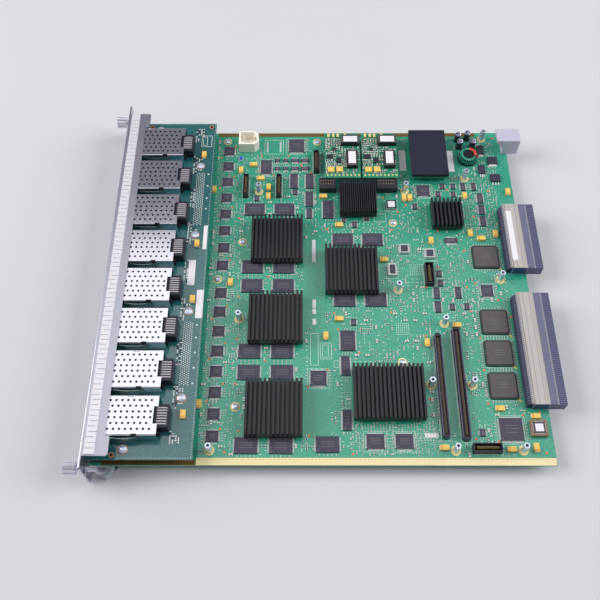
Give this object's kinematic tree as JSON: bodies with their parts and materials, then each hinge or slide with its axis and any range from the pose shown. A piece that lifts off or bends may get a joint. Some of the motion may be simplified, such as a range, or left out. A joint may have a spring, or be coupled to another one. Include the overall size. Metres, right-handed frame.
{
  "type": "switch line card",
  "caption": "Chassis line card with two rows of module cages behind a folded faceplate, ejector levers, thumbscrews, heat sinks, power modules and rear backplane connectors.",
  "frame": {"origin": "bottom centre of the bounding box, at the height of the faceplate's lower edge", "axes": "+X from the faceplate to the backplane connectors, +Y across the card towards the guide block's side, +Z from the boards' undersides to the components"},
  "size_m": [0.4166, 0.3822, 0.0416],
  "materials": {
    "contact_tin": "satin",
    "backplane_beige": "matte",
    "backplane_slate": "matte",
    "package_grey": "matte",
    "connector_black": "matte",
    "knob_nickel": "satin",
    "brick_baseplate": "satin",
    "brick_board": "matte",
    "lever_zinc": "satin",
    "can_aluminium": "satin",
    "spring_strip": "satin",
    "plate_steel": "satin",
    "guide_grey": "matte",
    "sink_black": "black anodised",
    "bracket_steel": "satin",
    "cage_nickel": "bright",
    "door_steel": "satin",
    "board_green": "satin solder mask",
    "oscillator_can": "satin",
    "socket_brown": "matte",
    "board_teal": "satin solder mask",
    "light_pipe": "clear",
    "nylon_white": "matte",
    "module_board_green": "satin",
    "coil_black": "matte",
    "post_nickel": "bright",
    "tantalum_yellow": "matte",
    "choke_green": "satin"
  },
  "bodies": {
    "card": {"backplane_contacts": "contact_tin", "backplane_housings": "backplane_beige", "backplane_sockets": "backplane_slate", "bga_chips": "package_grey", "board_connectors": "connector_black", "converter_baseplate": "brick_baseplate", "converter_board": "brick_board", "daughter_sockets": "connector_black", "electrolytic_capacitors": "can_aluminium", "emi_gasket": "spring_strip", "faceplate": "plate_steel", "guide_block": "guide_grey", "heat_sink_chips": "package_grey", "heat_sinks": "sink_black", "lever_pins": "bracket_steel", "logic_chips": "package_grey", "lower_cages": "cage_nickel", "main_board": "board_green", "memory_chips": "package_grey", "mounting_brackets": "bracket_steel", "oscillators": "oscillator_can", "phy_chips": "package_grey", "plcc_socket": "socket_brown", "port_board": "board_teal", "port_connectors": "connector_black", "port_leds": "light_pipe", "power_header": "nylon_white", "power_module_boards": "module_board_green", "power_module_coils": "coil_black", "power_transistors": "connector_black", "quad_flat_chips": "package_grey", "standoffs": "post_nickel", "tantalum_capacitors": "tantalum_yellow", "test_headers": "connector_black", "toroid_choke": "choke_green", "upper_cages": "cage_nickel"},
    "near_ejector_lever": {"ejector_lever_near": "lever_zinc"},
    "far_ejector_lever": {"ejector_lever_far": "lever_zinc"},
    "near_retaining_ring": {"retaining_ring_near": "bracket_steel"},
    "near_thumbscrew": {"captive_screw_near": "knob_nickel"},
    "far_retaining_ring": {"retaining_ring_far": "bracket_steel"},
    "far_thumbscrew": {"captive_screw_far": "knob_nickel"},
    "lower_door_1": {"lower_port_door_1": "door_steel"},
    "lower_door_2": {"lower_port_door_2": "door_steel"},
    "lower_door_3": {"lower_port_door_3": "door_steel"},
    "lower_door_4": {"lower_port_door_4": "door_steel"},
    "lower_door_5": {"lower_port_door_5": "door_steel"},
    "lower_door_6": {"lower_port_door_6": "door_steel"},
    "lower_door_7": {"lower_port_door_7": "door_steel"},
    "lower_door_8": {"lower_port_door_8": "door_steel"},
    "upper_door_1": {"upper_port_door_1": "door_steel"},
    "upper_door_2": {"upper_port_door_2": "door_steel"},
    "upper_door_3": {"upper_port_door_3": "door_steel"},
    "upper_door_4": {"upper_port_door_4": "door_steel"},
    "upper_door_5": {"upper_port_door_5": "door_steel"},
    "upper_door_6": {"upper_port_door_6": "door_steel"},
    "upper_door_7": {"upper_port_door_7": "door_steel"},
    "upper_door_8": {"upper_port_door_8": "door_steel"}
  },
  "joints": [
    {"name": "near_lever_swing", "type": "hinge", "parent": "card", "child": "near_ejector_lever", "pos_m": [-0.1862, -0.17415, 0.00585], "axis": [0, 0, 1], "range_deg": [0, 50]},
    {"name": "far_lever_swing", "type": "hinge", "parent": "card", "child": "far_ejector_lever", "pos_m": [-0.1862, 0.17415, 0.00585], "axis": [0, 0, -1], "range_deg": [0, 50]},
    {"name": "near_screw_travel", "type": "slide", "parent": "card", "child": "near_retaining_ring", "axis": [1, 0, 0], "range_m": [0, 0.0055]},
    {"name": "near_screw_turn", "type": "hinge", "parent": "near_retaining_ring", "child": "near_thumbscrew", "pos_m": [-0.1899, -0.18545, 0.0221], "axis": [1, 0, 0], "continuous": true},
    {"name": "far_screw_travel", "type": "slide", "parent": "card", "child": "far_retaining_ring", "axis": [1, 0, 0], "range_m": [0, 0.0055]},
    {"name": "far_screw_turn", "type": "hinge", "parent": "far_retaining_ring", "child": "far_thumbscrew", "pos_m": [-0.1899, 0.18545, 0.0221], "axis": [1, 0, 0], "continuous": true},
    {"name": "lower_door_1_swing", "type": "hinge", "parent": "card", "child": "lower_door_1", "pos_m": [-0.19015, -0.1454, 0.0234], "axis": [0, -1, 0], "range_deg": [0, 90], "stiffness_Nm_per_rad": 0.0008, "springref_deg": -17.19},
    {"name": "lower_door_2_swing", "type": "hinge", "parent": "card", "child": "lower_door_2", "pos_m": [-0.19015, -0.1039, 0.0234], "axis": [0, -1, 0], "range_deg": [0, 90], "stiffness_Nm_per_rad": 0.0008, "springref_deg": -17.19},
    {"name": "lower_door_3_swing", "type": "hinge", "parent": "card", "child": "lower_door_3", "pos_m": [-0.19015, -0.0624, 0.0234], "axis": [0, -1, 0], "range_deg": [0, 90], "stiffness_Nm_per_rad": 0.0008, "springref_deg": -17.19},
    {"name": "lower_door_4_swing", "type": "hinge", "parent": "card", "child": "lower_door_4", "pos_m": [-0.19015, -0.0209, 0.0234], "axis": [0, -1, 0], "range_deg": [0, 90], "stiffness_Nm_per_rad": 0.0008, "springref_deg": -17.19},
    {"name": "lower_door_5_swing", "type": "hinge", "parent": "card", "child": "lower_door_5", "pos_m": [-0.19015, 0.0206, 0.0234], "axis": [0, -1, 0], "range_deg": [0, 90], "stiffness_Nm_per_rad": 0.0008, "springref_deg": -17.19},
    {"name": "lower_door_6_swing", "type": "hinge", "parent": "card", "child": "lower_door_6", "pos_m": [-0.19015, 0.0621, 0.0234], "axis": [0, -1, 0], "range_deg": [0, 90], "stiffness_Nm_per_rad": 0.0008, "springref_deg": -17.19},
    {"name": "lower_door_7_swing", "type": "hinge", "parent": "card", "child": "lower_door_7", "pos_m": [-0.19015, 0.1036, 0.0234], "axis": [0, -1, 0], "range_deg": [0, 90], "stiffness_Nm_per_rad": 0.0008, "springref_deg": -17.19},
    {"name": "lower_door_8_swing", "type": "hinge", "parent": "card", "child": "lower_door_8", "pos_m": [-0.19015, 0.1451, 0.0234], "axis": [0, -1, 0], "range_deg": [0, 90], "stiffness_Nm_per_rad": 0.0008, "springref_deg": -17.19},
    {"name": "upper_door_1_swing", "type": "hinge", "parent": "card", "child": "upper_door_1", "pos_m": [-0.19015, -0.1454, 0.038], "axis": [0, -1, 0], "range_deg": [0, 90], "stiffness_Nm_per_rad": 0.0008, "springref_deg": -17.19},
    {"name": "upper_door_2_swing", "type": "hinge", "parent": "card", "child": "upper_door_2", "pos_m": [-0.19015, -0.1039, 0.038], "axis": [0, -1, 0], "range_deg": [0, 90], "stiffness_Nm_per_rad": 0.0008, "springref_deg": -17.19},
    {"name": "upper_door_3_swing", "type": "hinge", "parent": "card", "child": "upper_door_3", "pos_m": [-0.19015, -0.0624, 0.038], "axis": [0, -1, 0], "range_deg": [0, 90], "stiffness_Nm_per_rad": 0.0008, "springref_deg": -17.19},
    {"name": "upper_door_4_swing", "type": "hinge", "parent": "card", "child": "upper_door_4", "pos_m": [-0.19015, -0.0209, 0.038], "axis": [0, -1, 0], "range_deg": [0, 90], "stiffness_Nm_per_rad": 0.0008, "springref_deg": -17.19},
    {"name": "upper_door_5_swing", "type": "hinge", "parent": "card", "child": "upper_door_5", "pos_m": [-0.19015, 0.0206, 0.038], "axis": [0, -1, 0], "range_deg": [0, 90], "stiffness_Nm_per_rad": 0.0008, "springref_deg": -17.19},
    {"name": "upper_door_6_swing", "type": "hinge", "parent": "card", "child": "upper_door_6", "pos_m": [-0.19015, 0.0621, 0.038], "axis": [0, -1, 0], "range_deg": [0, 90], "stiffness_Nm_per_rad": 0.0008, "springref_deg": -17.19},
    {"name": "upper_door_7_swing", "type": "hinge", "parent": "card", "child": "upper_door_7", "pos_m": [-0.19015, 0.1036, 0.038], "axis": [0, -1, 0], "range_deg": [0, 90], "stiffness_Nm_per_rad": 0.0008, "springref_deg": -17.19},
    {"name": "upper_door_8_swing", "type": "hinge", "parent": "card", "child": "upper_door_8", "pos_m": [-0.19015, 0.1451, 0.038], "axis": [0, -1, 0], "range_deg": [0, 90], "stiffness_Nm_per_rad": 0.0008, "springref_deg": -17.19}
  ]
}
